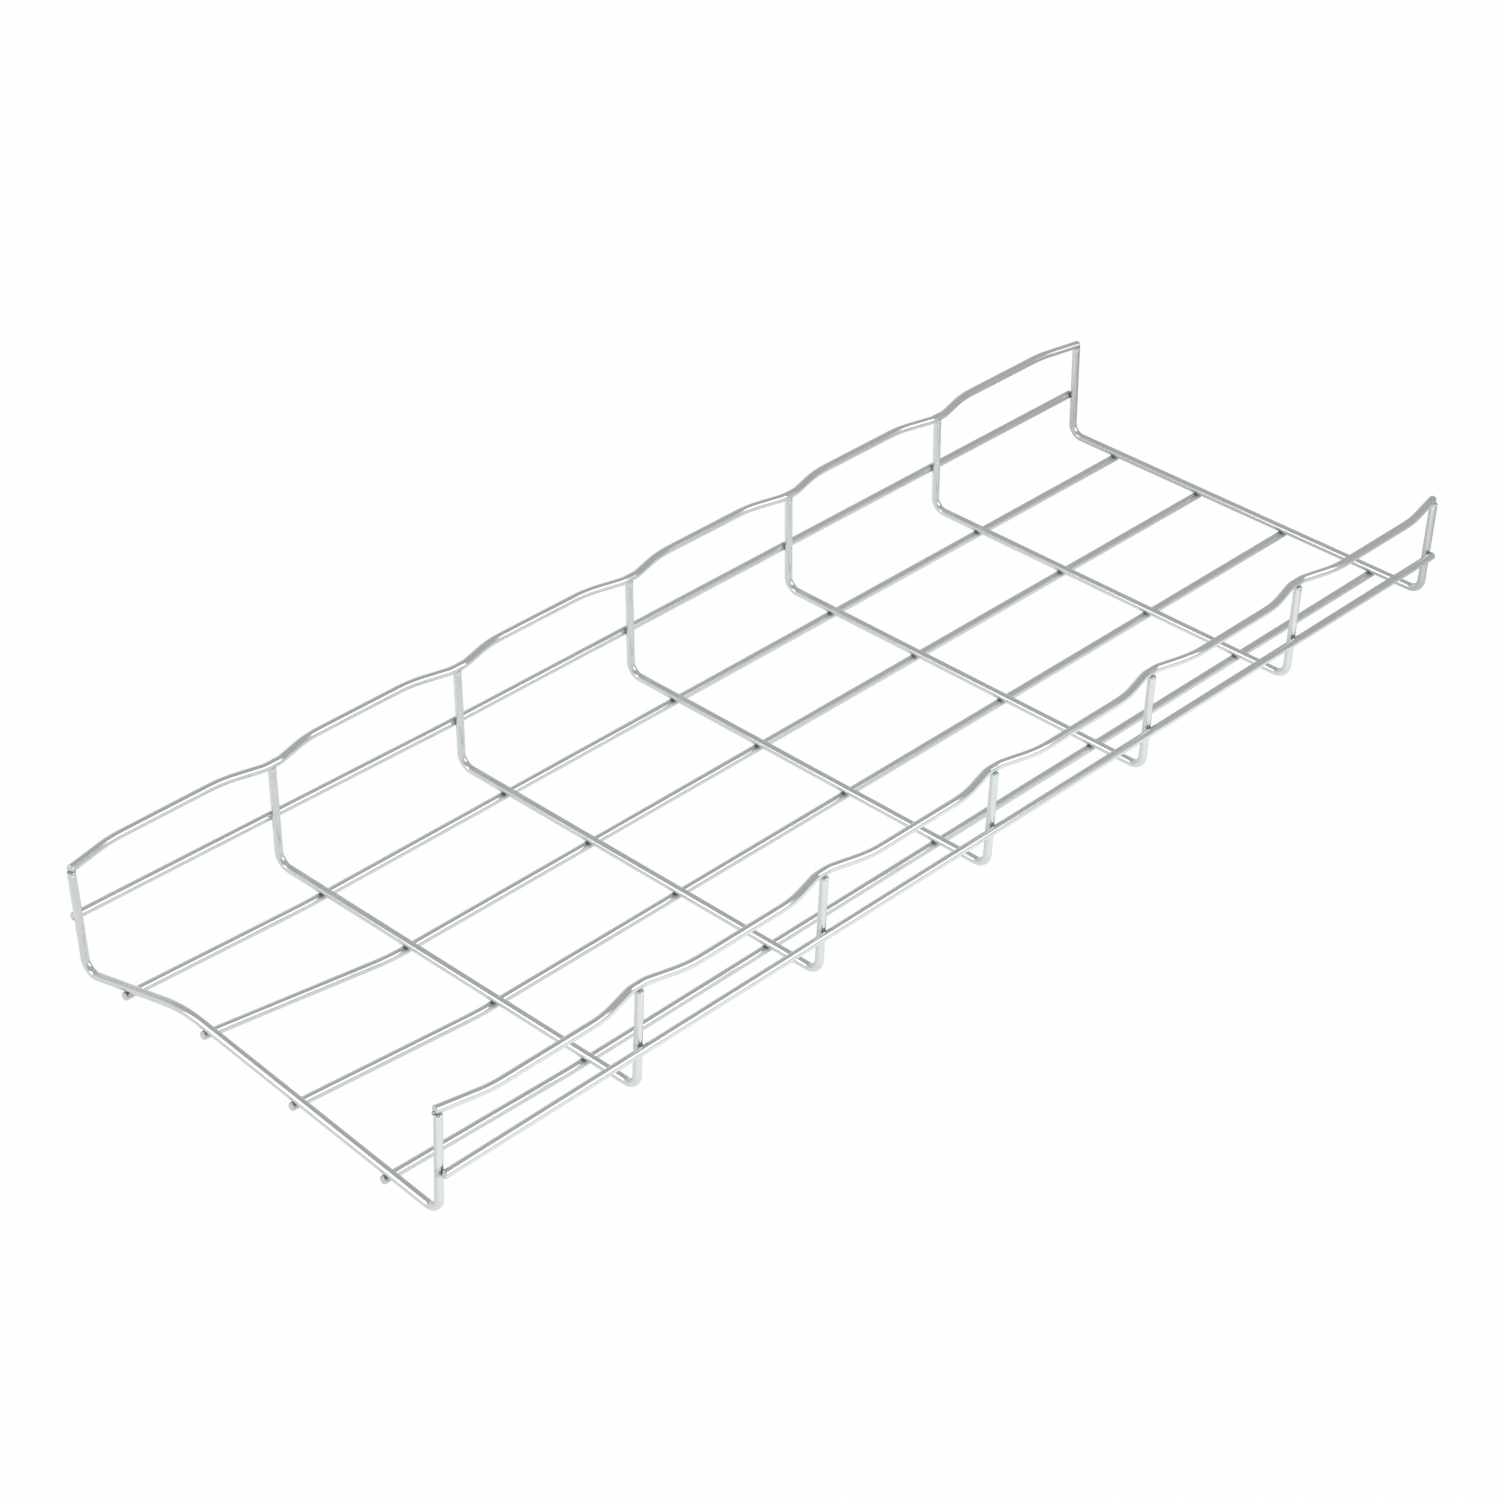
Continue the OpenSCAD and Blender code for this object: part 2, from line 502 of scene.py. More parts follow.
@dataclass
class Knock:
    """The blow that pushed up the floor at one end."""

    tray: TrayFrame
    rise: float = 15.0 * MM
    peak_x: float = -40.0 * MM
    peak_radius: float = 60.0 * MM
    draw: float = 2.7 * MM
    side_lift: float = 4.2 * MM
    clear: float = 8.0 * MM
    bend_radius: float = 120.0 * MM

    @property
    def foot_x(self) -> float:
        """Where the knocked left leg and the floor run would meet."""
        return self.draw - self.tray.foot_x

    def slope(self, x: float) -> float:
        """Gives the knocked floor run's slope at x."""
        if x < self.peak_x:
            return self.rise / (self.peak_x - self.foot_x)
        return -self.rise / (self.tray.foot_x - self.peak_x)

    def cross_lift(self, x: float) -> float:
        """Gives how far the knocked floor run is lifted at x."""
        foot = self.foot_x if x < self.peak_x else self.tray.foot_x
        return (x - foot) * self.slope(x)

    def drawn_in(self, x: float) -> float:
        """Gives how far the knock moves a floor wire sideways."""
        return self.draw if x < self.peak_x else 0.0

    def run(self, bays: int) -> float:
        """Gives the length of a wire's bent up end that reaches over so many bays."""
        return bays * (self.tray.stations[1] - self.tray.stations[0]) - self.clear

    def floor_lift(self, x: float) -> float:
        """Gives how far a floor wire at x is lifted at the end cross wire."""
        top = self.cross_lift(x + self.drawn_in(x))
        drop = math.sqrt(1 + self.slope(x) ** 2 + (top / self.run(1)) ** 2)
        return top + self.tray.weld_pitch * (1 - drop)

    def long_line(self, start: Vector, move: Vector, bays: int, ends: tuple[float, float]) -> CentreLine:
        """Lays a long wire that the knock bends up.

        Args:
            start: the wire's centre line where it is sound, at Y 0.
            move: how the knock moves it at the end cross wire.
            bays: how many bays the bent up end reaches over.
            ends: the Y of its two ends.

        Returns:
            The wire's centre line, from the sound end.
        """
        knocked_y = self.tray.stations[0]
        low, high = ends
        over = (knocked_y - low) / self.run(bays)
        corners = [
            start + Vector((0.0, high, 0.0)),
            start + Vector((0.0, knocked_y + self.run(bays), 0.0)),
            start + Vector((0.0, low, 0.0)) + move * (1 + over),
        ]
        return CentreLine(corners, [0.0, self.bend_radius, 0.0])


@dataclass
class CrossWires:
    """The seven U shaped cross wires, of which the first has been knocked."""

    tray: TrayFrame
    knock: Knock
    mill: WireMill
    # Strength of the welding tint with painted contact shade where a side wire sits on a leg.
    leg_tint_and_shade: float = 0.4

    def line(self, i: int) -> CentreLine:
        """Lays cross wire i, counted from 0 at the knocked end."""
        tray, knock = self.tray, self.knock
        foot = knock.foot_x if i == 0 else -tray.foot_x
        across = [(-tray.leg_top_x, tray.leg_top_z), (foot, tray.cross_z)]
        radii = [0.0, tray.bend_radius]
        if i == 0:
            across.append((knock.peak_x, tray.cross_z + knock.rise))
            radii.append(knock.peak_radius)
        across += [(tray.foot_x, tray.cross_z), (tray.leg_top_x, tray.leg_top_z)]
        radii += [tray.bend_radius, 0.0]
        return CentreLine([Vector((x, tray.stations[i], z)) for x, z in across], radii)

    def marks(self, i: int, floor_places: list[Vector]) -> list[PressMark]:
        """Gives the press marks on top of cross wire i, over its floor wires."""
        up = Vector((0.0, 0.0, 1.0))
        side_z = self.tray.side_height
        pressed = [PressMark(p + up * self.tray.weld_pitch, up) for p in floor_places]
        for wall in Wall:
            place = Vector((wall.value * self.tray.leg_x(side_z), self.tray.stations[i], side_z))
            pressed.append(PressMark(place, Vector((-wall.value, 0.0, 0.0)), self.leg_tint_and_shade))
        return pressed

    def build(self, floor: "FloorWires") -> list[bpy.types.Object]:
        """Sweeps the cross wires.

        Args:
            floor: the floor wires, which say where the press marks are.

        Returns:
            One object for each cross wire.
        """
        made = []
        for i in range(len(self.tray.stations)):
            name = f"cross_wire_{i + 1}"
            places = [floor.weld(i, j) for j in range(FLOOR_WIRES)]
            made.append(self.mill.replace(name, self.line(i), self.marks(i, places)))
        return made


@dataclass
class FloorWires:
    """The four floor wires under the cross wires."""

    tray: TrayFrame
    knock: Knock
    mill: WireMill

    def x(self, j: int) -> float:
        """Gives where floor wire j lies where it is sound; the knock moves it to +X only."""
        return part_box(f"floor_wire_{j + 1}")[0][0] + self.tray.radius

    def weld(self, i: int, j: int) -> Vector:
        """Gives floor wire j's centre line under cross wire i."""
        x = self.x(j)
        place = Vector((x, self.tray.stations[i], self.tray.radius))
        if i == 0:
            place += Vector((self.knock.drawn_in(x), 0.0, self.knock.floor_lift(x)))
        return place

    def line(self, j: int) -> CentreLine:
        """Lays floor wire j, between the ends of its node's box."""
        low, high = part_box(f"floor_wire_{j + 1}")
        x = self.x(j)
        move = Vector((self.knock.drawn_in(x), 0.0, self.knock.floor_lift(x)))
        lean = self.tray.radius * move.length / self.knock.run(1)
        ends = (low[1] + lean, high[1])
        return self.knock.long_line(Vector((x, 0.0, self.tray.radius)), move, 1, ends)

    def build(self) -> list[bpy.types.Object]:
        """Sweeps the floor wires and gives one object for each."""
        made = []
        down = Vector((0.0, 0.0, -1.0))
        for j in range(FLOOR_WIRES):
            name = f"floor_wire_{j + 1}"
            marks = [PressMark(self.weld(i, j), down) for i in range(len(self.tray.stations))]
            made.append(self.mill.replace(name, self.line(j), marks))
        return made


@dataclass
class SideWires:
    """The straight wire outside each wall, a little under half way up."""

    tray: TrayFrame
    knock: Knock
    mill: WireMill

    def x(self, z: float, lean: float) -> float:
        """Gives how far out the side wire is at a height on a leg with that lean."""
        out = self.tray.leg_top_x - (self.tray.leg_top_z - z) * math.tan(lean)
        return out + self.tray.weld_pitch / math.cos(lean)

    def knocked_lean(self) -> float:
        """Gives the lean of the knocked left leg."""
        tray = self.tray
        return math.atan2(tray.leg_top_x + self.knock.foot_x, tray.leg_top_z - tray.cross_z)

    def move(self, wall: Wall) -> Vector:
        """Gives how the knock moves the side wire at the end cross wire."""
        if wall is Wall.RIGHT:
            return Vector((0.0, 0.0, 0.0))
        z = self.tray.side_height
        moved = self.x(z + self.knock.side_lift, self.knocked_lean())
        return Vector((self.x(z, self.tray.lean) - moved, 0.0, self.knock.side_lift))

    def weld(self, wall: Wall, i: int) -> Vector:
        """Gives the side wire's centre line beside cross wire i."""
        z = self.tray.side_height
        place = Vector((wall.value * self.x(z, self.tray.lean), self.tray.stations[i], z))
        share = max(0.0, 1 - (self.tray.stations[i] - self.tray.stations[0]) / self.knock.run(2))
        return place + self.move(wall) * share

    def build(self) -> list[bpy.types.Object]:
        """Sweeps the two side wires and gives one object for each."""
        made = []
        for wall in Wall:
            name = f"side_wire_{wall.name.lower()}"
            low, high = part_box(name)
            z = self.tray.side_height
            start = Vector((wall.value * self.x(z, self.tray.lean), 0.0, z))
            line = self.knock.long_line(start, self.move(wall), 2, (low[1], high[1]))
            out = Vector((float(wall.value), 0.0, 0.0))
            marks = [PressMark(self.weld(wall, i), out) for i in range(len(self.tray.stations))]
            made.append(self.mill.replace(name, line, marks))
        return made


@dataclass
class EdgeWires:
    """The waved wire on top of each wall, which bows outward between the legs."""

    tray: TrayFrame
    mill: WireMill
    depth: float = 4.8 * MM
    left_inset: float = 0.4 * MM
    right_inset: float = 1.1 * MM
    bow_start: float = 4.0 * MM
    bow_full: float = 22.0 * MM
    foot_radius: float = 12.0 * MM
    crest_radius: float = 50.0 * MM
    seat_margin: float = 0.3 * MM
    # Strength of the welding tint with painted contact shade under the edge wire's seats.
    tint_and_shade: float = 0.35

    def inset(self, wall: Wall) -> float:
        """Gives how far inward of the legs' centres the wire is welded."""
        return self.left_inset if wall is Wall.LEFT else self.right_inset

    def line(self, wall: Wall) -> CentreLine:
        """Lays the edge wire of one wall."""
        tray = self.tray
        low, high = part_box(f"edge_wire_{wall.name.lower()}")
        half_turn = math.atan2(self.depth, self.bow_full - self.bow_start) / 2
        seat_half = tray.radius + self.seat_margin
        foot = min(self.foot_radius, (self.bow_start - seat_half) / math.tan(half_turn))
        crest = min(self.crest_radius, (self.bow_full - self.bow_start) / 2 / math.tan(half_turn))
        shape = [(low[1], 0.0, 0.0)]
        for i in range(BAYS):
            start, end = tray.stations[i], tray.stations[i + 1]
            if i > 0:
                shape.append((start + self.bow_start, 0.0, foot))
            shape.append((start + self.bow_full, self.depth, crest))
            shape.append((end - self.bow_full, self.depth, crest))
            if i < BAYS - 1:
                shape.append((end - self.bow_start, 0.0, foot))
        shape.append((high[1], 0.0, 0.0))
        base = tray.leg_top_x - self.inset(wall)
        corners = [Vector((wall.value * (base + out), y, tray.edge_z)) for y, out, _ in shape]
        return CentreLine(corners, [radius for _, _, radius in shape])

    def build(self) -> list[bpy.types.Object]:
        """Sweeps the two edge wires and gives one object for each."""
        made = []
        up = Vector((0.0, 0.0, 1.0))
        for wall in Wall:
            name = f"edge_wire_{wall.name.lower()}"
            x = wall.value * (self.tray.leg_top_x - self.inset(wall))
            seats = [Vector((x, y, self.tray.edge_z)) for y in self.tray.stations]
            marks = [PressMark(seat, up, self.tint_and_shade) for seat in seats]
            made.append(self.mill.replace(name, self.line(wall), marks))
        return made


@dataclass
class WeldFlash:
    """The metal that each weld squeezes out, as a thin bead round the seat of two wires.

    A crown bead, under an edge wire, reaches crown_spread times the seat's half width
    across and crown_length times the wire's radius along.
    """

    tray: TrayFrame
    bead: float = 0.34 * MM
    crown_bead: float = 0.18 * MM
    crown_spread: float = 1.15
    crown_length: float = 0.86
    crown_rise: float = 0.1 * MM
    unevenness: float = 0.3
    steps: int = 28
    sides: int = 8
    seed: int = 7

    def saddle(self, centre: Vector, under: Vector, over: Vector) -> list[Vector]:
        """Traces the seam where two crossing wires meet.

        Args:
            centre: the middle of the seat.
            under: heading of the wire below, seen from the wire above.
            over: heading of the wire above.

        Returns:
            The points of the closed seam.
        """
        r = self.tray.radius
        half = r - self.tray.weld_bite / 2
        reach = math.sqrt(r * r - (r - self.tray.weld_bite) ** 2)
        apart = under.cross(over).normalized()
        points = []
        for k in range(self.steps):
            angle = math.tau * k / self.steps
            u = reach * math.cos(angle)
            lift = half - math.sqrt(r * r - u * u)
            v = math.copysign(math.sqrt(max(0.0, r * r - (lift + half) ** 2)), math.sin(angle))
            points.append(centre + under * u + over * v + apart * lift)
        return points

    def crown(self, top: Vector, wire_x: float) -> list[Vector]:
        """Traces the seam between a leg's cut end and the edge wire on it.

        Args:
            top: the middle of the leg's cut end.
            wire_x: the edge wire's place across.

        Returns:
            The points of the closed seam.
        """
        r = self.tray.radius
        reach = math.sqrt(r * r - (r - self.tray.weld_bite) ** 2)
        points = []
        for k in range(self.steps):
            angle = math.tau * k / self.steps
            x = wire_x + self.crown_spread * reach * math.cos(angle)
            y = top.y + self.crown_length * r * math.sin(angle)
            z = top.z + self.crown_rise * abs(math.cos(angle))
            points.append(Vector((x, y, z)))
        return points

    def ring(
        self,
        verts: list[Vector],
        faces: list[tuple[int, ...]],
        seam: list[Vector],
        bead: float,
        draw: random.Random,
    ) -> None:
        """Adds one bead to a mesh.

        Args:
            verts: the mesh's points, which grow.
            faces: the mesh's faces, which grow.
            seam: the closed seam that the bead follows.
            bead: the bead's radius.
            draw: the source of the bead's unevenness.
        """
        first = len(verts)
        count = len(seam)
        middle = sum(seam, Vector()) / count
        phase = [draw.uniform(0.0, math.tau) for _ in range(3)]
        for k, point in enumerate(seam):
            angle = math.tau * k / count
            wave = sum(math.sin((n + 2) * angle + p) for n, p in enumerate(phase)) / 3
            radius = bead * (1 + self.unevenness * wave)
            ahead = (seam[(k + 1) % count] - seam[k - 1]).normalized()
            out = point - middle
            out = (out - ahead * out.dot(ahead)).normalized()
            side = ahead.cross(out)
            for m in range(self.sides):
                round_it = math.tau * m / self.sides
                verts.append(point + (out * math.cos(round_it) + side * math.sin(round_it)) * radius)
        for k in range(count):
            for m in range(self.sides):
                a, b = k * self.sides + m, k * self.sides + (m + 1) % self.sides
                c, d = (b + self.sides) % (count * self.sides), (a + self.sides) % (count * self.sides)
                faces.append((first + a, first + d, first + c, first + b))

    def beads(self, name: str, seams: list[list[Vector]], bead: float) -> bpy.types.Object:
        """Makes the beads of several welds as one object.

        Args:
            name: the piece's name.
            seams: the seam of each weld.
            bead: the beads' radius.

        Returns:
            The object, smooth shaded.
        """
        draw = random.Random(self.seed)
        verts: list[Vector] = []
        faces: list[tuple[int, ...]] = []
        for seam in seams:
            self.ring(verts, faces, seam, bead, draw)
        return swept_object(name, verts, faces, verts, [0.0] * len(verts))

    def build(self, floor: FloorWires, side: SideWires, edge: EdgeWires) -> list[bpy.types.Object]:
        """Makes the flash of the floor, side and edge welds.

        Args:
            floor: the floor wires.
            side: the side wires.
            edge: the edge wires.

        Returns:
            The three objects.
        """
        tray = self.tray
        across, along, up = Vector((1.0, 0.0, 0.0)), Vector((0.0, 1.0, 0.0)), Vector((0.0, 0.0, 1.0))
        stations = range(len(tray.stations))
        half = tray.weld_pitch / 2
        floor_seams = []
        for i in stations:
            for j in range(FLOOR_WIRES):
                x = floor.x(j)
                tilt = floor.knock.slope(x) if i == 0 else 0.0
                over = (across + up * tilt).normalized()
                normal = over.cross(along)
                floor_seams.append(self.saddle(floor.weld(i, j) + normal * half, along, -over))
        side_seams = []
        for wall in Wall:
            for i in stations:
                knocked = wall is Wall.LEFT and i == 0
                lean = side.knocked_lean() if knocked else tray.lean
                leg = (up + across * (wall.value * math.tan(lean))).normalized()
                inward = leg.cross(along) * wall.value
                place = side.weld(wall, i) + inward * half
                side_seams.append(self.saddle(place, along, leg * wall.value))
        edge_seams = []
        for wall in Wall:
            for y in tray.stations:
                top = Vector((wall.value * tray.leg_top_x, y, tray.leg_top_z))
                wire_x = wall.value * (tray.leg_top_x - edge.inset(wall))
                edge_seams.append(self.crown(top, wire_x))
        return [
            self.beads("floor_weld_flash", floor_seams, self.bead),
            self.beads("side_weld_flash", side_seams, self.bead),
            self.beads("edge_weld_flash", edge_seams, self.crown_bead),
        ]


# ---- finishes ----


def node(tree: bpy.types.NodeTree, kind: str, **values: object) -> bpy.types.Node:
    """Adds a node.

    Args:
        tree: the tree that it goes into.
        kind: the node's type name, without its Shader prefix.
        values: its properties, by name.

    Returns:
        The new node.
    """
    made = tree.nodes.new(f"ShaderNode{kind}")
    for key, value in values.items():
        setattr(made, key, value)
    return made


def ramp(tree: bpy.types.NodeTree, low: float, high: float, to: tuple[float, float]) -> bpy.types.Node:
    """Adds a Map Range node that clamps low..high to the two values in to."""
    made = node(tree, "MapRange")
    for socket, value in zip(("From Min", "From Max", "To Min", "To Max"), (low, high, *to)):
        made.inputs[socket].default_value = value
    return made


@dataclass(frozen=True)
class Grain:
    """A noise over the wire's own place: its stretch along the wire, scale and detail."""

    along: float
    scale: float
    detail: float


DIE_LINES = Grain(along=0.012, scale=2600.0, detail=2.0)
PLATING_GRAIN = Grain(along=1.0, scale=3800.0, detail=3.0)
BLOOM = Grain(along=0.35, scale=170.0, detail=3.0)
NOISE_MIDDLE = 0.5
TONE_SPREAD = 0.25
ROUGHNESS_SPREAD = 0.3


def drawn_grain_group() -> bpy.types.NodeTree:
    """Builds the group that gives a drawn wire's die lines, plating grain and bloom."""
    group = bpy.data.node_groups.new("DrawnWireGrain", "ShaderNodeTree")
    for name, value in (("Die Lines", 1.0), ("Plating Grain", 1.0), ("Bloom", 1.0)):
        group.interface.new_socket(name, in_out="INPUT", socket_type="NodeSocketFloat").default_value = value
    for name in ("Height", "Tone"):
        group.interface.new_socket(name, in_out="OUTPUT", socket_type="NodeSocketFloat")
    inputs = group.nodes.new("NodeGroupInput")
    outputs = group.nodes.new("NodeGroupOutput")
    place = node(group, "Attribute", attribute_name=PLACE)

    def noise(grain: Grain) -> bpy.types.Node:
        """Adds a noise over the wire's own place."""
        mapping = node(group, "Mapping")
        mapping.inputs["Scale"].default_value = (1.0, 1.0, grain.along)
        made = node(group, "TexNoise")
        made.inputs["Scale"].default_value = grain.scale
        made.inputs["Detail"].default_value = grain.detail
        group.links.new(place.outputs["Vector"], mapping.inputs["Vector"])
        group.links.new(mapping.outputs["Vector"], made.inputs["Vector"])
        return made

    def weighted(source: bpy.types.Node, weight: str) -> bpy.types.Node:
        """Centres a noise on 0 and scales it by one of the group's inputs."""
        centred = node(group, "Math", operation="SUBTRACT")
        centred.inputs[1].default_value = NOISE_MIDDLE
        scaled = node(group, "Math", operation="MULTIPLY")
        group.links.new(source.outputs["Fac"], centred.inputs[0])
        group.links.new(centred.outputs[0], scaled.inputs[0])
        group.links.new(inputs.outputs[weight], scaled.inputs[1])
        return scaled

    def total(*parts: bpy.types.Node) -> bpy.types.Node:
        """Adds up the outputs of several nodes."""
        last = parts[0]
        for part in parts[1:]:
            added = node(group, "Math", operation="ADD")
            group.links.new(last.outputs[0], added.inputs[0])
            group.links.new(part.outputs[0], added.inputs[1])
            last = added
        return last

    lines = weighted(noise(DIE_LINES), "Die Lines")
    grain = weighted(noise(PLATING_GRAIN), "Plating Grain")
    bloom = weighted(noise(BLOOM), "Bloom")
    group.links.new(total(lines, grain).outputs[0], outputs.inputs["Height"])
    group.links.new(total(bloom, lines).outputs[0], outputs.inputs["Tone"])
    return group


@dataclass(frozen=True)
class ZincFinish:
    """Bright zinc plating on steel, with how strongly its grain shows."""

    name: str
    colour: tuple[float, float, float]
    dull_colour: tuple[float, float, float]
    roughness: tuple[float, float]
    bump_depth: float
    bump: float = 0.6
    die_lines: float = 0.0
    plating_grain: float = 1.0
    bloom: float = 1.0
    # Colour of the welding tint, darkened as painted contact shade where the other wire sits.
    tint_and_shade_colour: tuple[float, float, float] = (0.27, 0.285, 0.28)

    def material(self, grain: bpy.types.NodeTree) -> bpy.types.Material:
        """Builds the material.

        Args:
            grain: the shared group for a drawn wire's grain.

        Returns:
            The material.
        """
        made = bpy.data.materials.new(self.name)
        made.use_nodes = True
        tree = made.node_tree
        shader = tree.nodes["Principled BSDF"]
        shader.inputs["Metallic"].default_value = 1.0
        texture = node(tree, "Group", node_tree=grain)
        texture.inputs["Die Lines"].default_value = self.die_lines
        texture.inputs["Plating Grain"].default_value = self.plating_grain
        texture.inputs["Bloom"].default_value = self.bloom
        mix = node(tree, "Mix", data_type="RGBA")
        mix.inputs["A"].default_value = (*self.colour, 1.0)
        mix.inputs["B"].default_value = (*self.dull_colour, 1.0)
        # Mixes in the welding tint with painted contact shade, by each point's attribute.
        tint_and_shade = node(tree, "Attribute", attribute_name=WELD_TINT_AND_SHADE)
        tinted_and_shaded = node(tree, "Mix", data_type="RGBA")
        tinted_and_shaded.inputs["B"].default_value = (*self.tint_and_shade_colour, 1.0)
        tone = ramp(tree, -TONE_SPREAD, TONE_SPREAD, (0.0, 1.0))
        rough = ramp(tree, -ROUGHNESS_SPREAD, ROUGHNESS_SPREAD, self.roughness)
        bump = node(tree, "Bump")
        bump.inputs["Strength"].default_value = self.bump
        bump.inputs["Distance"].default_value = self.bump_depth
        for source, target in (
            (texture.outputs["Tone"], tone.inputs["Value"]),
            (texture.outputs["Tone"], rough.inputs["Value"]),
            (tone.outputs["Result"], mix.inputs["Factor"]),
            (mix.outputs["Result"], tinted_and_shaded.inputs["A"]),
            (tint_and_shade.outputs["Fac"], tinted_and_shaded.inputs["Factor"]),
            (tinted_and_shaded.outputs["Result"], shader.inputs["Base Color"]),
            (rough.outputs["Result"], shader.inputs["Roughness"]),
            (texture.outputs["Height"], bump.inputs["Height"]),
            (bump.outputs["Normal"], shader.inputs["Normal"]),
        ):
            tree.links.new(source, target)
        return made


WIRE_FINISH = ZincFinish(
    name="bright_zinc_wire",
    colour=(0.78, 0.825, 0.81),
    dull_colour=(0.74, 0.785, 0.77),
    roughness=(0.12, 0.18),
    die_lines=1.0,
    plating_grain=0.12,
    bump=0.3,
    bump_depth=0.000008,
)
# Dark zinc of the weld flash, darkened further as painted shade in the crevice where two wires meet.
FLASH_FINISH_AND_SHADE = ZincFinish(
    name="weld_flash_zinc_and_painted_shade",
    colour=(0.36, 0.38, 0.373),
    dull_colour=(0.24, 0.255, 0.25),
    roughness=(0.34, 0.5),
    bump_depth=0.00008,
)
CROP_FINISH = ZincFinish(
    name="zinc_on_cropped_end",
    colour=(0.80, 0.85, 0.835),
    dull_colour=(0.66, 0.70, 0.69),
    roughness=(0.32, 0.46),
    bump_depth=0.0001,
)


# ---- studio ----


@dataclass(frozen=True)
class SoftBox:
    """A soft box: the middle of it, the point that it faces, its width and height, its watts."""

    name: str
    place: tuple[float, float, float]
    aim: tuple[float, float, float]
    size: tuple[float, float]
    power: float

    def hang(self) -> None:
        """Hangs the soft box."""
        data = bpy.data.lights.new(self.name, "AREA")
        data.shape = "RECTANGLE"
        data.size, data.size_y = self.size
        data.energy = self.power
        place, aim = Vector(self.place), Vector(self.aim)
        lamp = bpy.data.objects.new(self.name, data)
        lamp.location = place
        lamp.rotation_euler = (aim - place).to_track_quat("-Z", "Y").to_euler()
        bpy.context.scene.collection.objects.link(lamp)


SOFT_BOXES = (
    SoftBox("soft_box_right", (0.92, 0.28, 0.73), (0.0, 0.1, 0.0), (1.12, 0.7), 3.8),
    SoftBox("soft_box_front", (-0.57, -1.15, 0.72), (0.0, 0.0, 0.0), (0.56, 0.92), 2.35),
)


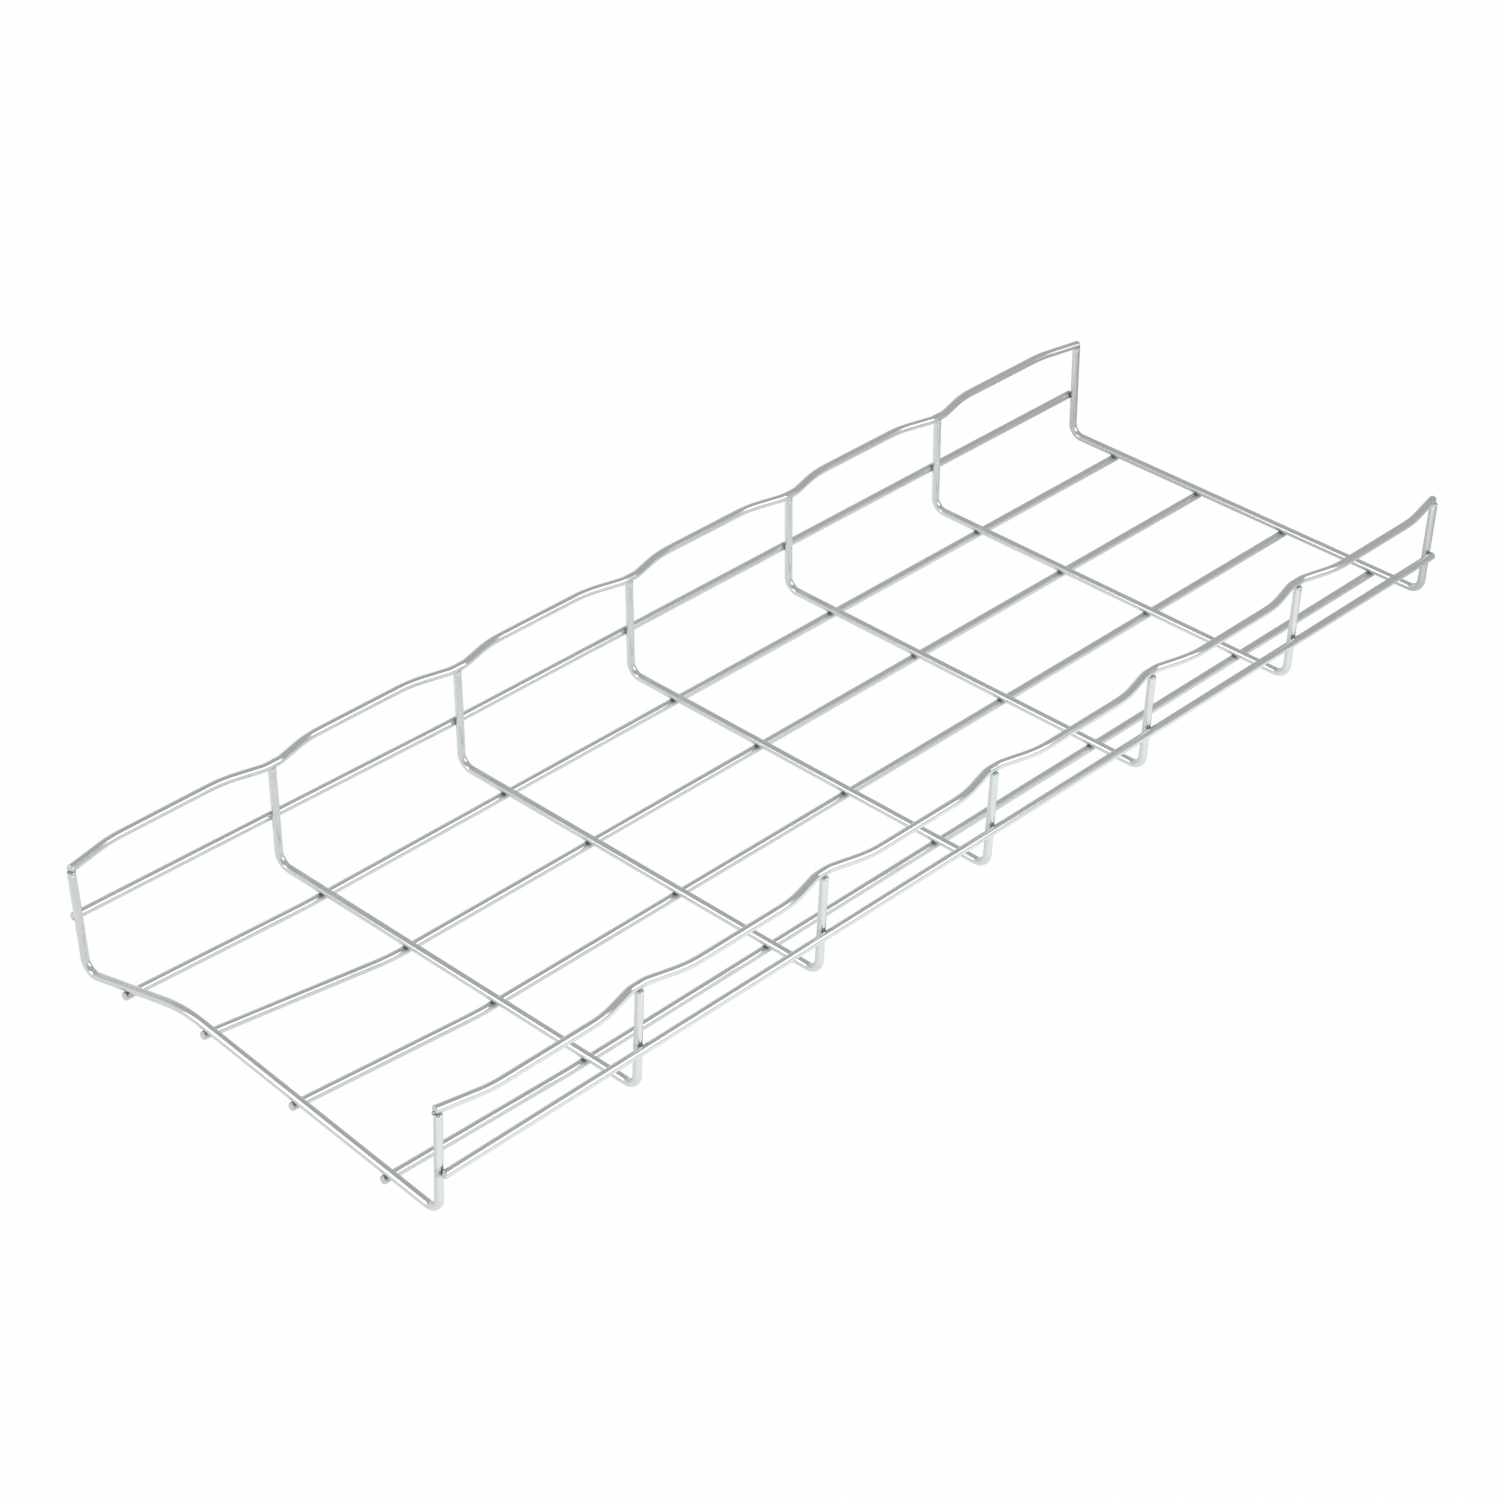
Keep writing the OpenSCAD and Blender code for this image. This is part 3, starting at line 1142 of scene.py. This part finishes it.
@dataclass
class Studio:
    """A pale floor, two soft boxes and the room's own light, with the camera.

    Seen by glossy and transmission rays, the floor's glow carries painted shade: a painted shadow of the
    tray inside it, painted shade left of it and painted shade behind it.
    The *_fade fields say where each painted shade's edge begins and ends, and the room's walls and ceiling
    do so by heading.
    """

    camera_place: Vector = field(default_factory=lambda: Vector((0.9005, -0.9988, 0.9199)))
    camera_azimuth: float = 42.981
    camera_elevation: float = 34.016
    camera_roll: float = 1.122
    camera_lens: float = 92.998
    sensor_width: float = 36.0
    floor_size: float = 30.0
    floor_white: float = 0.985
    floor_grey: float = 0.9
    floor_roughness: float = 0.9
    # Strengths of the painted shade in the floor's glow: left of the tray, the painted shadow inside it, and
    # behind it.
    painted_shade_left: float = 0.88
    painted_shadow_inside: float = 0.81
    painted_shade_back: float = 0.56
    left_fade: tuple[float, float] = (-0.12, -0.09)
    right_fade: tuple[float, float] = (0.09, 0.12)
    back_fade: tuple[float, float] = (0.2, 0.34)
    ceiling: float = 0.475
    walls: tuple[float, float] = (0.78, 0.46)
    wall_fade: tuple[float, float] = (0.62, 0.70)
    ceiling_fade: tuple[float, float] = (0.0, 0.6)

    def camera(self) -> bpy.types.Object:
        """Places the camera, level but for a slight roll."""
        azimuth, elevation = math.radians(self.camera_azimuth), math.radians(self.camera_elevation)
        back = Vector(
            (
                math.sin(azimuth) * math.cos(elevation),
                -math.cos(azimuth) * math.cos(elevation),
                math.sin(elevation),
            )
        )
        right = Vector((math.cos(azimuth), math.sin(azimuth), 0.0))
        up = back.cross(right)
        turn = Matrix((right, up, back)).transposed().to_4x4()
        data = bpy.data.cameras.new("camera")
        data.lens = self.camera_lens
        data.sensor_width = self.sensor_width
        placed = bpy.data.objects.new("camera", data)
        roll = Matrix.Rotation(math.radians(self.camera_roll), 4, "Z")
        placed.matrix_world = Matrix.Translation(self.camera_place) @ turn @ roll
        bpy.context.scene.collection.objects.link(placed)
        bpy.context.scene.camera = placed
        return placed

    def floor(self) -> bpy.types.Object:
        """Lays the pale floor, whose colour is the background."""
        half = self.floor_size / 2
        mesh = bpy.data.meshes.new("floor")
        corners = [(-half, -half, 0), (half, -half, 0), (half, half, 0), (-half, half, 0)]
        mesh.from_pydata(corners, [], [(0, 1, 2, 3)])
        made = bpy.data.objects.new("floor", mesh)
        bpy.context.scene.collection.objects.link(made)
        material = bpy.data.materials.new("pale_floor")
        material.use_nodes = True
        tree = material.node_tree
        shader = tree.nodes["Principled BSDF"]
        shader.inputs["Base Color"].default_value = (*(self.floor_grey,) * 3, 1.0)
        shader.inputs["Roughness"].default_value = self.floor_roughness
        glow = node(tree, "Emission")
        place = node(tree, "TexCoord")
        split = node(tree, "SeparateXYZ")
        # Painted shade in the glow that glossy and transmission rays see: a painted shadow of the tray
        # inside its footprint, painted shade left of it and darker behind it. Camera rays still see the
        # floor evenly white.
        right = ramp(tree, *self.right_fade, (self.painted_shadow_inside, 1.0))
        left = ramp(tree, *self.left_fade, (self.painted_shade_left, 0.0))
        across = node(tree, "Math", operation="MAXIMUM")
        along = ramp(tree, *self.back_fade, (1.0, self.painted_shade_back))
        painted_floor_shade = node(tree, "Math", operation="MULTIPLY")
        path = node(tree, "LightPath")
        strength = node(tree, "Math", operation="MAXIMUM")
        seen = node(tree, "Math", operation="MAXIMUM")
        clear = node(tree, "Math", operation="MAXIMUM")
        mix = node(tree, "MixShader")
        part = node(tree, "Math", operation="MULTIPLY")
        part.inputs[1].default_value = self.floor_white
        out = tree.nodes["Material Output"]
        for source, target in (
            (place.outputs["Object"], split.inputs["Vector"]),
            (split.outputs["X"], right.inputs["Value"]),
            (split.outputs["X"], left.inputs["Value"]),
            (right.outputs["Result"], across.inputs[0]),
            (left.outputs["Result"], across.inputs[1]),
            (split.outputs["Y"], along.inputs["Value"]),
            (across.outputs[0], painted_floor_shade.inputs[0]),
            (along.outputs["Result"], painted_floor_shade.inputs[1]),
            (painted_floor_shade.outputs[0], strength.inputs[0]),
            (path.outputs["Is Camera Ray"], strength.inputs[1]),
            (strength.outputs[0], glow.inputs["Strength"]),
            (path.outputs["Is Camera Ray"], seen.inputs[0]),
            (path.outputs["Is Glossy Ray"], seen.inputs[1]),
            (seen.outputs[0], clear.inputs[0]),
            (path.outputs["Is Transmission Ray"], clear.inputs[1]),
            (clear.outputs[0], part.inputs[0]),
            (part.outputs[0], mix.inputs["Fac"]),
            (shader.outputs["BSDF"], mix.inputs[1]),
            (glow.outputs["Emission"], mix.inputs[2]),
            (mix.outputs["Shader"], out.inputs["Surface"]),
        ):
            tree.links.new(source, target)
        made.data.materials.append(material)
        return made

    def room(self) -> None:
        """Sets the room's light: a pale wall round the horizon, under a greyer ceiling."""
        world = bpy.data.worlds.new("studio_room")
        bpy.context.scene.world = world
        world.use_nodes = True
        tree = world.node_tree
        background = tree.nodes["Background"]
        place = node(tree, "TexCoord")
        split = node(tree, "SeparateXYZ")
        walls = ramp(tree, *self.wall_fade, self.walls)
        height = ramp(tree, *self.ceiling_fade, (0.0, 1.0))
        light = node(tree, "Mix", data_type="FLOAT")
        light.inputs["B"].default_value = self.ceiling
        path = node(tree, "LightPath")
        seen = node(tree, "Math", operation="MAXIMUM")
        for source, target in (
            (place.outputs["Generated"], split.inputs["Vector"]),
            (split.outputs["Y"], walls.inputs["Value"]),
            (split.outputs["Z"], height.inputs["Value"]),
            (height.outputs["Result"], light.inputs["Factor"]),
            (walls.outputs["Result"], light.inputs["A"]),
            (light.outputs["Result"], seen.inputs[0]),
            (path.outputs["Is Camera Ray"], seen.inputs[1]),
            (seen.outputs[0], background.inputs["Strength"]),
        ):
            tree.links.new(source, target)
        background.inputs["Color"].default_value = (1.0, 1.0, 1.0, 1.0)

    def build(self) -> None:
        """Sets up the whole studio."""
        bpy.context.scene.view_settings.view_transform = "Standard"
        self.camera()
        self.floor()
        self.room()
        for box in SOFT_BOXES:
            box.hang()


def main() -> None:
    """Builds the basket's wires, welds and finishes in order, then the studio."""
    logging.basicConfig(level=logging.INFO, format="%(name)s: %(message)s")
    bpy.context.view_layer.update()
    tray = TrayFrame()
    knock = Knock(tray)
    mill = WireMill(tray.radius)
    floor = FloorWires(tray, knock, mill)
    side = SideWires(tray, knock, mill)
    edge = EdgeWires(tray, mill)
    wires = CrossWires(tray, knock, mill).build(floor) + floor.build() + side.build() + edge.build()
    flashes = WeldFlash(tray).build(floor, side, edge)
    grain = drawn_grain_group()
    wire_zinc, crop_zinc, flash_zinc_and_shade = (f.material(grain) for f in (WIRE_FINISH, CROP_FINISH, FLASH_FINISH_AND_SHADE))
    for piece in wires:
        piece.data.materials.append(wire_zinc)
        piece.data.materials.append(crop_zinc)
    for piece in flashes:
        piece.data.materials.append(flash_zinc_and_shade)
    for piece in wires + flashes:
        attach(piece, BODY)
        log.info("%s: %d faces", piece.name, len(piece.data.polygons))
    Studio().build()


if __name__ == "__main__":
    main()
